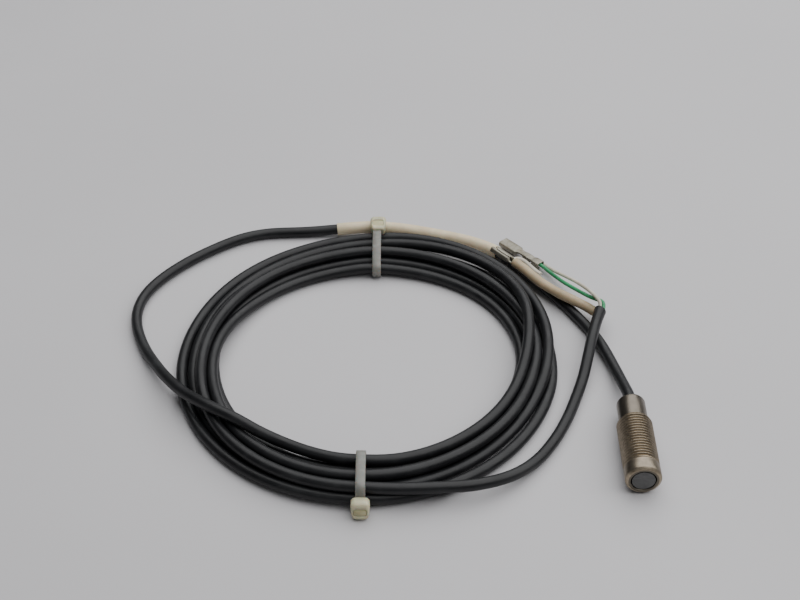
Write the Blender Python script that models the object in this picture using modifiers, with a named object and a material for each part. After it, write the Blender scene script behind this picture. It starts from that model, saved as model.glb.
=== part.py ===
"""Cylindrical inductive proximity sensor with an M10x1 barrel, its coiled lead and two blade terminals.

The barrel lies on its side along Y with the sensing face towards -Y, and stands on z = 0.
All numbers below are millimetres; MM turns them into Blender's metres.
"""
import math

import bmesh
import bpy
from mathutils import Matrix, Vector

MM = 0.001
GAP = 0.3                      # air kept between pieces that touch

# Barrel
THREAD_DIAMETER = 10.0
THREAD_PITCH = 1.0
THREAD_RIDGES = 17
THREAD_DEPTH = 0.61
THREAD_PROFILE = (0.06, 0.46, 0.58, 0.94)   # crest, root, root, crest as shares of the pitch
THREAD_RUNOUT = 0.5            # cone from the last crest down to the plain rear
BODY_LENGTH = 30.0
FRONT_COLLAR = 3.9             # plain length between the chamfer and the thread
FRONT_CHAMFER = 0.65
REAR_DIAMETER = 8.1
REAR_ROUNDING = 0.4
BORE_RADIUS = 3.45
REAR_BORE_RADIUS = 2.9
REAR_BORE_LENGTH = 4.5

# Sensing end
FACE_RECESS = 0.1
FACE_THICKNESS = 0.8
CAP_LENGTH = 3.7
CAP_WALL = 0.4
CORE_RADIUS = 2.45
CORE_LENGTH = 2.5
CORE_POST_RADIUS = 0.75
CORE_GROOVE_RADIUS = 2.0
CORE_GROOVE_DEPTH = 1.6
WINDING_INSET = 0.1            # winding below the rim of the core
HOLDER_LENGTH = 1.5

# Circuit board and the parts on it
BOARD_WIDTH = 5.2
BOARD_LENGTH = 13.6
BOARD_THICKNESS = 0.8
BOARD_EDGE_ROUNDING = 0.05
INNER_WIRE_RADIUS = 0.4
INNER_WIRE_SPREAD = 1.1
INNER_WIRE_EXIT_RISE = 0.5     # above the barrel's axis where it leaves the cable
INNER_WIRE_CREST = (1.2, 0.8)  # behind the board's rear edge, and above the axis
INNER_WIRE_LAP = 1.6           # soldered length on the board
BOARD_TO_CABLE = 2.6
CLAMP_SETBACK = 0.6
SEAL_RECESS = 0.2

# Cable, its sleeves and its wires
CABLE_RADIUS = 1.65
SLEEVE_RADIUS = 1.95
LEAD_SLEEVE_RADIUS = 1.5
GREEN_WIRE_RADIUS = 0.6
WHITE_WIRE_RADIUS = 0.55
POINT_SPACING = 8.0            # between the points of a cable's curve
SLEEVE_POINT_SPACING = 4.5
GREEN_POINT_SPACING = 2.7
WHITE_POINT_SPACING = 3.15

# Coil of cable and its two ties
COIL_CENTRE = (-75.0, 38.0)
COIL_OUTER_RADIUS = 56.5
COIL_INNER_RADIUS = 43.5
COIL_STRETCH = (0.965, 1.03)   # the coil is slightly oval, longer along Y
COIL_BOTTOM = 1.2
COIL_TOP = 6.0
COIL_EDGE_RADIUS = 2.2
TIE_THICKNESS = 0.9
TIE_WIDTH = 2.7
TIE_HEAD_WIDTH = 4.8
TIE_HEAD_ROUNDING = 0.5
FRONT_HEAD_SIZE = (3.4, 5.0)   # along Y and up
FRONT_HEAD_OUT = 2.2           # from the coil's front edge to the head's middle
FRONT_HEAD_HEIGHT = 2.95
FRONT_HEAD_TILT = 8.0
BACK_HEAD_SIZE = (4.4, 3.4)
BACK_HEAD_Y = 99.2
BACK_HEAD_RISE = 2.15          # from the sleeve's top to the head's middle
BACK_HEAD_TILT = -8.0
FRONT_TIE_X = -75.6
BACK_TIE_X = -72.9
SLEEVE_LIFT = COIL_BOTTOM + SLEEVE_RADIUS

# Blade terminals
TERMINAL_WIDTH = 3.8
TERMINAL_HEIGHT = 1.7
TERMINAL_SHEET = 0.4
RECEPTACLE_LENGTH = 7.3
RECEPTACLE_CORNER = 0.35
RECEPTACLE_INNER_CORNER = 0.1
RECEPTACLE_SLOT = 0.9          # between the two curled edges
NECK_WIDTH = 1.9
NECK_THICKNESS = 0.5
NECK_LAP = 0.8                 # neck inside the receptacle
NECK_HEIGHT = -0.63            # neck's middle below the terminal's axis
NECK_ROUNDING = 0.05
CRIMP_LENGTH = 7.2
WIRE_CRIMP_SIZE = (3.2, 2.1, 1.9)
WIRE_CRIMP_CENTRE = (1.5, -0.05)        # behind the crimps' front end, and up
WIRE_CRIMP_ROUNDING = 0.45
CRIMP_LINK_SIZE = (1.6, 1.6, 0.7)
CRIMP_LINK_CENTRE = (3.6, -0.55)
INSULATION_CRIMP_RADIUS = 1.7
INSULATION_CRIMP_LENGTH = 3.4
INSULATION_BORE_START = 0.6    # behind the insulation crimp's front end

TURN_STEPS = 40
SMALL_TURN_STEPS = 24
COIL_STEPS = 72
CORNER_POINTS = 4
CRIMP_SIDES = 20

AXIS_HEIGHT = THREAD_DIAMETER / 2
FRONT = BODY_LENGTH / 2
REAR = -BODY_LENGTH / 2

# Hand-laid cable routes, from each piece's start to its end
LEAD_ROUTE = [
    (0.0, 15.3, 5.0), (0.0, 18.3, 4.9), (-0.5, 22.0, 4.2), (-1.4, 28.2, 2.9), (-3.1, 37.0, 1.9),
    (-5.3, 45.4, 1.68), (-8.9, 53.2, 1.68), (-13.8, 62.0, 1.68), (-19.4, 70.2, 1.68),
    (-25.4, 78.6, 1.7), (-29.3, 83.9, 1.75), (-32.6, 87.7, 1.9)]
SLEEVE_ROUTE = [
    (-33.0, 88.15, 1.95), (-37.2, 91.6, 1.95), (-44.2, 95.0, 1.95), (-52.0, 97.5, 2.0),
    (-60.0, 99.4, 2.3), (-68.0, 100.5, 2.95), (BACK_TIE_X, 100.8, SLEEVE_LIFT),
    (-78.0, 100.9, 2.9), (-86.4, 100.6, 2.0)]
LOOP_ROUTE = [
    (-86.75, 100.6, 2.0), (-97.9, 99.7, 1.68), (-106.5, 99.6, 1.68), (-112.9, 98.1, 1.68),
    (-118.9, 95.3, 1.68), (-129.6, 87.1, 1.68), (-134.6, 82.2, 1.68), (-139.3, 76.7, 1.68),
    (-143.0, 70.9, 1.68), (-145.2, 65.0, 1.68), (-145.9, 59.0, 1.68), (-145.2, 53.2, 1.68),
    (-143.4, 47.4, 1.75), (-141.3, 42.6, 2.2), (-138.4, 36.5, 3.6), (-135.1, 30.7, 5.5),
    (-130.9, 23.6, 7.6), (-126.4, 18.4, 8.0), (-121.5, 13.8, 8.0), (-116.0, 9.9, 7.95),
    (-108.5, 5.0, 7.95), (-99.3, -0.5, 7.95), (-88.5, -5.4, 7.95)]
TAIL_ROUTE = [
    (-50.2, -16.9, 4.9), (-43.5, -15.5, 4.6), (-35.1, -11.4, 3.2), (-27.8, -4.6, 2.0),
    (-22.2, 3.6, 1.68), (-17.9, 12.2, 1.68), (-14.6, 20.8, 1.8), (-12.0, 28.2, 2.7),
    (-10.1, 35.2, 4.1), (-8.3, 42.3, 5.2), (-6.3, 49.4, 5.5), (-4.4, 55.4, 5.4)]
LEAD_SLEEVE_ROUTE = [
    (-6.9, 57.2, 4.75), (-8.6, 58.6, 4.85), (-13.8, 62.0, 5.15), (-16.6, 64.3, 5.15),
    (-20.8, 68.6, 5.1), (-23.6, 72.4, 5.05), (-25.8, 75.7, 5.0), (-28.9, 79.7, 5.0)]
GREEN_ROUTE = [
    (-3.4, 55.5, 5.7), (-3.1, 56.8, 6.1), (-3.4, 58.1, 6.5), (-4.6, 58.9, 6.6), (-6.6, 60.6, 6.2),
    (-9.6, 64.3, 5.4), (-14.0, 71.2, 3.6), (-17.3, 77.3, 2.3), (-20.0, 81.7, 1.9), (-21.6, 83.5, 1.8)]
WHITE_ROUTE = [
    (-4.5, 56.1, 6.3), (-4.5, 56.6, 7.2), (-5.2, 57.9, 8.0), (-7.2, 62.6, 7.3), (-10.2, 69.0, 5.4),
    (-13.4, 74.6, 3.4), (-16.6, 79.0, 2.2), (-19.1, 82.5, 1.7)]

# Terminals: front of the receptacle, back of the crimp, and roll about the terminal's length
LYING_TERMINAL = ((-31.6, 95.1, 1.2), (-20.2, 81.9, 1.88), 180.0)
LEANING_TERMINAL = ((-35.0, 86.5, 5.0), (-29.8, 80.5, 5.0), -25.0)


def clear_scene():
    for obj in list(bpy.data.objects):
        bpy.data.objects.remove(obj, do_unlink=True)


def new_collection(name):
    collection = bpy.data.collections.new(name)
    bpy.context.scene.collection.children.link(collection)
    return collection


def principled(name, colour, roughness, metallic=0.0):
    material = bpy.data.materials.new(name)
    material.use_nodes = True
    shader = material.node_tree.nodes["Principled BSDF"]
    shader.inputs["Base Color"].default_value = (*colour, 1.0)
    shader.inputs["Roughness"].default_value = roughness
    shader.inputs["Metallic"].default_value = metallic
    material.diffuse_color = (*colour, 1.0)
    return material


def metres(point):
    return Vector(point) * MM


def add_object(name, data, material, collection=None):
    obj = bpy.data.objects.new(name, data)
    (collection or PARTS).objects.link(obj)
    if material:
        data.materials.append(material)
    return obj


def settle(obj, sharp_degrees=35.0):
    """Turn the object into a plain mesh of its evaluated shape, shaded smooth up to an angle."""
    bpy.context.view_layer.update()
    evaluated = obj.evaluated_get(bpy.context.evaluated_depsgraph_get())
    mesh = bpy.data.meshes.new_from_object(evaluated)
    weld = bmesh.new()
    weld.from_mesh(mesh)
    bmesh.ops.remove_doubles(weld, verts=weld.verts, dist=1e-6)
    weld.to_mesh(mesh)
    weld.free()
    mesh.shade_smooth()
    mesh.set_sharp_from_angle(angle=math.radians(sharp_degrees))
    if obj.type == "MESH":
        obj.modifiers.clear()
        obj.data = mesh
        return obj
    name = obj.name
    matrix = obj.matrix_world.copy()
    collection = obj.users_collection[0]
    bpy.data.objects.remove(obj, do_unlink=True)
    result = bpy.data.objects.new(name, mesh)
    collection.objects.link(result)
    result.matrix_world = matrix
    return result


def revolve(name, outline, material, steps, closed):
    """A turned piece about local Z; the outline of (radius, height) runs down its outer side."""
    mesh = bpy.data.meshes.new(name)
    edges = [(i, i + 1) for i in range(len(outline) - 1)]
    if closed:
        edges.append((len(outline) - 1, 0))
    mesh.from_pydata([metres((radius, 0.0, height)) for radius, height in outline], edges, [])
    obj = add_object(name, mesh, material)
    screw = obj.modifiers.new("Turn", "SCREW")
    screw.axis = "Z"
    screw.steps = steps
    screw.render_steps = steps
    screw.use_merge_vertices = True
    screw.merge_threshold = 1e-5
    return obj


def turned(name, outline, material, steps=SMALL_TURN_STEPS, closed=True):
    """A turned piece on the barrel's axis; its heights are distances towards the sensing face."""
    obj = revolve(name, outline, material, steps, closed)
    obj.rotation_euler = (math.radians(90.0), 0.0, 0.0)
    obj.location = metres((0.0, 0.0, AXIS_HEIGHT))
    return settle(obj)


def ring(name, inner, outer, front, back, material):
    """A plain ring on the barrel's axis."""
    return turned(name, [(outer, front), (outer, back), (inner, back), (inner, front)], material)


def block(name, size, centre, material, rounding=0.1):
    """A box with rounded edges."""
    mesh = bpy.data.meshes.new(name)
    shape = bmesh.new()
    bmesh.ops.create_cube(shape, size=1.0, matrix=Matrix.Diagonal((*metres(size), 1.0)))
    shape.to_mesh(mesh)
    shape.free()
    obj = add_object(name, mesh, material)
    obj.location = metres(centre)
    bevel = obj.modifiers.new("Rounded edges", "BEVEL")
    bevel.width = rounding * MM
    bevel.segments = 1
    return obj


def smooth_route(points, spacing):
    """Evenly spaced points on a smooth curve through the given ones."""
    knots = [Vector(point) for point in points]
    knots = [2 * knots[0] - knots[1]] + knots + [2 * knots[-1] - knots[-2]]
    fine_steps = 24
    fine = []
    for before, start, end, after in zip(knots, knots[1:], knots[2:], knots[3:]):
        for step in range(fine_steps):
            t = step / fine_steps
            fine.append(0.5 * (2 * start + (end - before) * t
                               + (2 * before - 5 * start + 4 * end - after) * t * t
                               + (3 * start - before - 3 * end + after) * t ** 3))
    fine.append(Vector(points[-1]))
    travelled = [0.0]
    for start, end in zip(fine, fine[1:]):
        travelled.append(travelled[-1] + (end - start).length)
    count = max(2, round(travelled[-1] / spacing))
    route = []
    index = 0
    for step in range(count + 1):
        target = travelled[-1] * step / count
        while index < len(fine) - 2 and travelled[index + 1] < target:
            index += 1
        share = (target - travelled[index]) / (travelled[index + 1] - travelled[index])
        route.append(fine[index].lerp(fine[index + 1], min(max(share, 0.0), 1.0)))
    return route


def tube(name, points, radius, material, spacing=None):
    """A round cable or wire along a route."""
    route = smooth_route(points, spacing) if spacing else [Vector(point) for point in points]
    curve = bpy.data.curves.new(name, "CURVE")
    curve.dimensions = "3D"
    curve.bevel_depth = radius * MM
    curve.bevel_resolution = 2
    curve.use_fill_caps = True
    curve.render_resolution_u = 0
    spline = curve.splines.new("POLY")
    spline.points.add(len(route) - 1)
    for point, position in zip(spline.points, route):
        point.co = (*metres(position), 1.0)
    return add_object(name, curve, material)


def plate(name, outlines, thickness, material, collection=None):
    """A flat piece in local XY, from an outline and any holes, extruded about z = 0."""
    curve = bpy.data.curves.new(name, "CURVE")
    curve.dimensions = "2D"
    curve.fill_mode = "BOTH"
    curve.extrude = thickness * MM / 2
    curve.render_resolution_u = 0
    for outline in outlines:
        spline = curve.splines.new("POLY")
        spline.points.add(len(outline) - 1)
        spline.use_cyclic_u = True
        for point, (x, y) in zip(spline.points, outline):
            point.co = (x * MM, y * MM, 0.0, 1.0)
    return add_object(name, curve, material, collection)


def combine(obj, other, operation):
    """Join or cut obj with another object, which moves to the cutters."""
    if other.users_collection[0] is not CUTTERS:
        other.users_collection[0].objects.unlink(other)
        CUTTERS.objects.link(other)
    other.hide_render = True
    other.display_type = "WIRE"
    boolean = obj.modifiers.new(other.name, "BOOLEAN")
    boolean.operation = operation
    boolean.solver = "EXACT"
    boolean.object = other


def make_materials():
    return {
        "nickel": principled("nickel_plated_brass", (0.62, 0.58, 0.50), 0.32, 1.0),
        "face": principled("sensing_face_plastic", (0.055, 0.058, 0.064), 0.45),
        "ferrite": principled("ferrite", (0.035, 0.035, 0.038), 0.6),
        "copper": principled("enamelled_copper", (0.56, 0.22, 0.09), 0.3, 1.0),
        "holder": principled("holder_plastic", (0.10, 0.10, 0.10), 0.5),
        "board": principled("circuit_board", (0.02, 0.12, 0.05), 0.45),
        "chip": principled("component_black", (0.02, 0.02, 0.02), 0.5),
        "tantalum": principled("component_yellow", (0.65, 0.42, 0.08), 0.5),
        "ceramic": principled("component_tan", (0.42, 0.30, 0.18), 0.5),
        "resin": principled("black_resin", (0.015, 0.015, 0.016), 0.35),
        "cable": principled("black_cable_jacket", (0.022, 0.023, 0.026), 0.42),
        "sleeve": principled("cream_sleeve", (0.62, 0.53, 0.38), 0.5),
        "green": principled("green_insulation", (0.03, 0.27, 0.10), 0.4),
        "white": principled("white_insulation", (0.64, 0.60, 0.50), 0.45),
        "tin": principled("tinned_brass", (0.50, 0.48, 0.44), 0.35, 1.0),
        "tie": principled("natural_nylon", (0.60, 0.60, 0.50), 0.4),
    }


def thread_outline():
    """Crests and roots of the thread, from its front end to its rear end."""
    crest = THREAD_DIAMETER / 2
    root = crest - THREAD_DEPTH
    start = FRONT - FRONT_CHAMFER - FRONT_COLLAR
    outline = []
    for ridge in range(THREAD_RIDGES):
        top = start - ridge * THREAD_PITCH
        for radius, share in zip((crest, root, root, crest), THREAD_PROFILE):
            outline.append((radius, top - share * THREAD_PITCH))
    return outline


def build_barrel(materials):
    crest = THREAD_DIAMETER / 2
    rear_radius = REAR_DIAMETER / 2
    thread_end = FRONT - FRONT_CHAMFER - FRONT_COLLAR - THREAD_RIDGES * THREAD_PITCH
    shoulder = REAR + REAR_BORE_LENGTH
    corner = (1.0 - math.sqrt(0.5)) * REAR_ROUNDING
    outline = [(crest - FRONT_CHAMFER, FRONT), (crest, FRONT - FRONT_CHAMFER)]
    outline += thread_outline()
    outline += [
        (rear_radius, thread_end - THREAD_RUNOUT),
        (rear_radius, REAR + REAR_ROUNDING),
        (rear_radius - corner, REAR + corner),
        (rear_radius - REAR_ROUNDING, REAR),
        (REAR_BORE_RADIUS, REAR),
        (REAR_BORE_RADIUS, shoulder),
        (BORE_RADIUS, shoulder),
        (BORE_RADIUS, FRONT)]
    turned("threaded_barrel", outline, materials["nickel"], TURN_STEPS)


def build_sensing_end(materials):
    face = FRONT - FACE_RECESS
    cap_radius = BORE_RADIUS - GAP
    cap_back = face - CAP_LENGTH
    inner_radius = cap_radius - CAP_WALL
    turned("sensing_face_cap", [
        (0.0, face), (cap_radius, face), (cap_radius, cap_back), (inner_radius, cap_back),
        (inner_radius, face - FACE_THICKNESS), (0.0, face - FACE_THICKNESS)],
        materials["face"], TURN_STEPS, closed=False)

    core_front = face - FACE_THICKNESS - GAP
    core_back = core_front - CORE_LENGTH
    groove = core_front - CORE_GROOVE_DEPTH
    turned("ferrite_core", [
        (0.0, core_front), (CORE_POST_RADIUS, core_front), (CORE_POST_RADIUS, groove),
        (CORE_GROOVE_RADIUS, groove), (CORE_GROOVE_RADIUS, core_front), (CORE_RADIUS, core_front),
        (CORE_RADIUS, core_back), (0.0, core_back)], materials["ferrite"], closed=False)
    ring("sensing_coil", CORE_POST_RADIUS + GAP, CORE_GROOVE_RADIUS - GAP,
         core_front - WINDING_INSET, groove + GAP, materials["copper"])

    holder_front = core_back - GAP
    holder_back = holder_front - HOLDER_LENGTH
    holder_radius = inner_radius - GAP
    turned("core_holder", [
        (0.0, holder_front), (holder_radius, holder_front), (holder_radius, cap_back - GAP),
        (cap_radius, cap_back - GAP), (cap_radius, holder_back), (0.0, holder_back)],
        materials["holder"], closed=False)
    return holder_back


def build_board(materials, holder_back):
    """The board and its parts; returns the y of the board's rear edge."""
    front_edge = -holder_back + GAP
    block("circuit_board", (BOARD_WIDTH, BOARD_LENGTH, BOARD_THICKNESS),
          (0.0, front_edge + BOARD_LENGTH / 2, AXIS_HEIGHT), materials["board"],
          BOARD_EDGE_ROUNDING)
    # name, size, distance of its centre from the board's front edge, side of the board, material
    parts = [
        ("oscillator_chip", (3.0, 3.6, 1.1), 3.4, 1, "chip"),
        ("tantalum_capacitor", (1.6, 3.0, 1.4), 7.4, 1, "tantalum"),
        ("sensitivity_resistor", (1.3, 1.2, 0.6), 10.2, 1, "chip"),
        ("output_transistor", (2.4, 2.8, 1.1), 4.4, -1, "chip"),
        ("ceramic_capacitor", (1.3, 2.0, 0.9), 7.6, -1, "ceramic"),
        ("surge_diode", (1.5, 2.6, 1.0), 10.6, -1, "chip"),
    ]
    for name, size, distance, side, slot in parts:
        height = BOARD_THICKNESS / 2 + GAP + size[2] / 2
        block(name, size, (0.0, front_edge + distance, AXIS_HEIGHT + side * height), materials[slot])
    return front_edge + BOARD_LENGTH


def build_cable_entry(materials, board_rear):
    """The cable's end inside the barrel, its clamp, its seal and its three wires."""
    rear = -REAR
    shoulder = rear - REAR_BORE_LENGTH
    stub_front = board_rear + BOARD_TO_CABLE
    turned("cable_inner_end", [
        (0.0, -stub_front), (CABLE_RADIUS, -stub_front), (CABLE_RADIUS, -rear), (0.0, -rear)],
        materials["cable"], closed=False)
    ring("cable_clamp_ring", CABLE_RADIUS + GAP, BORE_RADIUS - GAP,
         -(stub_front + CLAMP_SETBACK), -(shoulder - GAP), materials["tin"])
    ring("rear_seal", CABLE_RADIUS + GAP, REAR_BORE_RADIUS - GAP,
         -(shoulder + GAP), -(rear - SEAL_RECESS), materials["resin"])
    solder_height = AXIS_HEIGHT + BOARD_THICKNESS / 2 + GAP + INNER_WIRE_RADIUS
    crest_back, crest_rise = INNER_WIRE_CREST
    for name, offset in (("inner_green_wire", 1), ("inner_white_wire", 0), ("inner_sleeved_wire", -1)):
        x = offset * INNER_WIRE_SPREAD
        slot = {1: "green", 0: "white", -1: "sleeve"}[offset]
        tube(name, [(x, stub_front - GAP, AXIS_HEIGHT + INNER_WIRE_EXIT_RISE),
                    (x, board_rear + crest_back, AXIS_HEIGHT + crest_rise),
                    (x, board_rear, solder_height), (x, board_rear - INNER_WIRE_LAP, solder_height)],
             INNER_WIRE_RADIUS, materials[slot])


def build_cables(materials):
    tube("cable_lead", LEAD_ROUTE, CABLE_RADIUS, materials["cable"], POINT_SPACING)
    tube("protective_sleeve", SLEEVE_ROUTE, SLEEVE_RADIUS, materials["sleeve"], POINT_SPACING)
    tube("cable_loop", LOOP_ROUTE, CABLE_RADIUS, materials["cable"], POINT_SPACING)
    tube("cable_tail", TAIL_ROUTE, CABLE_RADIUS, materials["cable"], POINT_SPACING)
    tube("wire_sleeve", LEAD_SLEEVE_ROUTE, LEAD_SLEEVE_RADIUS, materials["sleeve"], SLEEVE_POINT_SPACING)
    tube("green_wire", GREEN_ROUTE, GREEN_WIRE_RADIUS, materials["green"], GREEN_POINT_SPACING)
    tube("white_wire", WHITE_ROUTE, WHITE_WIRE_RADIUS, materials["white"], WHITE_POINT_SPACING)


def coil_corners():
    """Centres of the rounded corners of the coil's cross section, as (radius, height)."""
    inset = COIL_EDGE_RADIUS
    return [(COIL_OUTER_RADIUS - inset, COIL_TOP - inset), (COIL_OUTER_RADIUS - inset, COIL_BOTTOM + inset),
            (COIL_INNER_RADIUS + inset, COIL_BOTTOM + inset), (COIL_INNER_RADIUS + inset, COIL_TOP - inset)]


def build_coil(materials):
    outline = []
    for corner, (radius, height) in enumerate(coil_corners()):
        for part in range(CORNER_POINTS):
            angle = math.radians(90.0 * (1 - corner - part / (CORNER_POINTS - 1)))
            outline.append((radius + COIL_EDGE_RADIUS * math.cos(angle),
                            height + COIL_EDGE_RADIUS * math.sin(angle)))
    coil = revolve("cable_coil", outline, materials["cable"], COIL_STEPS, closed=True)
    coil.location = metres((*COIL_CENTRE, 0.0))
    coil.scale = (*COIL_STRETCH, 1.0)
    settle(coil, 60.0)


def wrapped_outline(circles, clearance, count=40):
    """The outline of a band stretched round circles of (across, height, radius)."""
    outline = []
    for step in range(count):
        angle = 2 * math.pi * step / count
        across, up = math.cos(angle), math.sin(angle)
        y, z, radius = max(circles, key=lambda c: c[0] * across + c[1] * up + c[2])
        outline.append((y + (radius + clearance) * across, z + (radius + clearance) * up))
    return outline


def build_tie(name, x, circles, head_centre, head_size, head_tilt, materials):
    """A cable tie in the plane x = constant, pulled round the given circles, with its head outside."""
    band = plate(name, [wrapped_outline(circles, GAP + TIE_THICKNESS), wrapped_outline(circles, GAP)],
                 TIE_WIDTH, materials["tie"])
    # The outline's own x and y become world Y and Z
    band.rotation_euler = (math.radians(90.0), 0.0, math.radians(90.0))
    band.location = metres((x, 0.0, 0.0))
    band = settle(band)
    head = block(name + "_head", (TIE_HEAD_WIDTH, *head_size), (x, *head_centre), None, TIE_HEAD_ROUNDING)
    head.rotation_euler = (math.radians(head_tilt), 0.0, 0.0)
    combine(band, head, "UNION")
    return band


def coil_section(direction):
    """Circles at the corners of the coil's section where it crosses the plane of a tie."""
    y_centre = COIL_CENTRE[1]
    return [(y_centre + direction * radius * COIL_STRETCH[1], height, COIL_EDGE_RADIUS)
            for radius, height in coil_corners()]


def build_ties(materials):
    front = coil_section(-1)
    front_edge = COIL_CENTRE[1] - COIL_OUTER_RADIUS * COIL_STRETCH[1] - GAP
    build_tie("cable_tie_front", FRONT_TIE_X, front,
              (front_edge - FRONT_HEAD_OUT, FRONT_HEAD_HEIGHT), FRONT_HEAD_SIZE, FRONT_HEAD_TILT,
              materials)
    back = coil_section(1) + [(100.8, SLEEVE_LIFT, SLEEVE_RADIUS)]
    sleeve_top = SLEEVE_LIFT + SLEEVE_RADIUS + GAP
    build_tie("cable_tie_back", BACK_TIE_X, back,
              (BACK_HEAD_Y, sleeve_top + BACK_HEAD_RISE), BACK_HEAD_SIZE, BACK_HEAD_TILT, materials)


def receptacle_outline():
    """Section of the receptacle: a floor whose two sides curl up and over towards the middle."""
    half = TERMINAL_WIDTH / 2
    top = TERMINAL_HEIGHT
    sheet = TERMINAL_SHEET
    lip = RECEPTACLE_SLOT / 2
    corner = RECEPTACLE_CORNER
    inner = RECEPTACLE_INNER_CORNER
    side = [(half - corner, 0.0), (half, corner), (half, top - corner), (half - corner, top),
            (lip, top), (lip, top - sheet), (half - sheet - inner, top - sheet),
            (half - sheet, top - sheet - inner), (half - sheet, sheet)]
    return side + [(-across, up) for across, up in reversed(side)]


def build_terminal(name, placement, crimp_length, materials):
    """A female blade terminal: receptacle, neck and, where the wire shows, its crimps."""
    front, back, roll = placement
    front = Vector(front)
    back = Vector(back)
    length = (back - front).length
    body = plate(name, [receptacle_outline()], RECEPTACLE_LENGTH, materials["tin"])
    # Section across local Y and up local Z, extruded along local X from the front
    section = Matrix(((0, 0, 1, 0), (1, 0, 0, 0), (0, 1, 0, 0), (0, 0, 0, 1)))
    body.matrix_world = Matrix.Translation(
        metres((RECEPTACLE_LENGTH / 2, 0.0, -TERMINAL_HEIGHT / 2))) @ section
    body = settle(body)
    neck_front = RECEPTACLE_LENGTH - NECK_LAP
    crimp_front = length - crimp_length
    neck_back = crimp_front + (TERMINAL_SHEET if crimp_length else 0.0)
    neck = block(name + "_neck", (neck_back - neck_front, NECK_WIDTH, NECK_THICKNESS),
                 ((neck_front + neck_back) / 2, 0.0, NECK_HEIGHT), None, NECK_ROUNDING)
    combine(body, neck, "UNION")
    if crimp_length:
        back_by, up = WIRE_CRIMP_CENTRE
        wire_crimp = block(name + "_wire_crimp", WIRE_CRIMP_SIZE,
                           (crimp_front + back_by, 0.0, up), None, WIRE_CRIMP_ROUNDING)
        combine(body, wire_crimp, "UNION")
        back_by, up = CRIMP_LINK_CENTRE
        link = block(name + "_link", CRIMP_LINK_SIZE, (crimp_front + back_by, 0.0, up), None)
        combine(body, link, "UNION")
        crimp_start = length - INSULATION_CRIMP_LENGTH
        for suffix, radius, start, operation in (
                ("_insulation_crimp", INSULATION_CRIMP_RADIUS, crimp_start, "UNION"),
                ("_insulation_bore", GREEN_WIRE_RADIUS + GAP, crimp_start + INSULATION_BORE_START,
                 "DIFFERENCE")):
            mesh = bpy.data.meshes.new(name + suffix)
            shape = bmesh.new()
            bmesh.ops.create_cone(shape, cap_ends=True, segments=CRIMP_SIDES, radius1=radius * MM,
                                  radius2=radius * MM, depth=INSULATION_CRIMP_LENGTH * MM)
            shape.to_mesh(mesh)
            shape.free()
            barrel = add_object(name + suffix, mesh, None)
            barrel.rotation_euler = (0.0, math.radians(90.0), 0.0)
            barrel.location = metres((start + INSULATION_CRIMP_LENGTH / 2, 0.0, 0.0))
            combine(body, barrel, operation)
    body = settle(body)
    for cutter in [obj for obj in CUTTERS.objects if obj.name.startswith(name + "_")]:
        bpy.data.objects.remove(cutter, do_unlink=True)
    along = (back - front).normalized()
    across = Vector((0.0, 0.0, 1.0)).cross(along).normalized()
    upward = along.cross(across)
    turn = Matrix((along, across, upward)).transposed().to_4x4()
    body.matrix_world = (Matrix.Translation(metres(front)) @ turn
                         @ Matrix.Rotation(math.radians(roll), 4, "X") @ body.matrix_world)
    return body


def build_terminals(materials):
    build_terminal("blade_terminal_lying", LYING_TERMINAL, CRIMP_LENGTH, materials)
    build_terminal("blade_terminal_leaning", LEANING_TERMINAL, 0.0, materials)


clear_scene()
PARTS = new_collection("proximity_sensor")
CUTTERS = new_collection("cutters")


def build():
    materials = make_materials()
    build_barrel(materials)
    holder_back = build_sensing_end(materials)
    board_rear = build_board(materials, holder_back)
    build_cable_entry(materials, board_rear)
    build_cables(materials)
    build_coil(materials)
    build_ties(materials)
    build_terminals(materials)


build()
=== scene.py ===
"""Looks of the cylindrical proximity sensor, its coiled lead and its two blade terminals.

The barrel lies along Y with the sensing face towards -Y, on the floor z = 0. Lengths below are
millimetres unless a name says otherwise; MM turns them into metres.
"""
import math

import bmesh
import bpy
import numpy as np
from mathutils import Matrix, Vector


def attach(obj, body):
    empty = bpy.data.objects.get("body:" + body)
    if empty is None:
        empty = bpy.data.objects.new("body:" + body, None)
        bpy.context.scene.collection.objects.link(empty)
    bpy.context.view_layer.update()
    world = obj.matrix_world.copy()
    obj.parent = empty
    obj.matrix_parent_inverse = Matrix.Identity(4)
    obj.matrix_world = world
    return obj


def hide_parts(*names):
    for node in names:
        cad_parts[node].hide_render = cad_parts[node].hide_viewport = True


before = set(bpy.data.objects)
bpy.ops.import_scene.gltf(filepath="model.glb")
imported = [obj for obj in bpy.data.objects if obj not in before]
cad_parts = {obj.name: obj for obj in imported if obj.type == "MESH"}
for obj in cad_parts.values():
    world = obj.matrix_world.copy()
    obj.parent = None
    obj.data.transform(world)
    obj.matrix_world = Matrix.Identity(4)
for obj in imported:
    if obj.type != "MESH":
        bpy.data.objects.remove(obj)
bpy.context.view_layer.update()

MM = 0.001

# Barrel
AXIS_HEIGHT = 5.0
THREAD_RADIUS = 5.0
THREAD_PITCH = 1.0
THREAD_DEPTH = 0.61
THREAD_FRONT = -10.45
THREAD_REAR = 6.55
FRONT = -15.0
REAR = 15.0
FRONT_CHAMFER = 0.65
REAR_RADIUS = 4.05
BORE_RADIUS = 3.45
REAR_BORE_RADIUS = 2.9
REAR_BORE_LENGTH = 4.5
BARREL_SIDES = 96
THREAD_PROFILE = [                # share of the pitch, share of the depth
    (0.0, 0.0), (0.10, 0.0), (0.42, 0.90), (0.46, 1.0), (0.56, 1.0), (0.60, 0.90), (0.92, 0.0)]
THREAD_END_DEPTH = 0.30           # the crests start and end this far below the thread's radius
THREAD_END_RUN = 0.5              # over which the crests rise to the thread's radius

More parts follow.
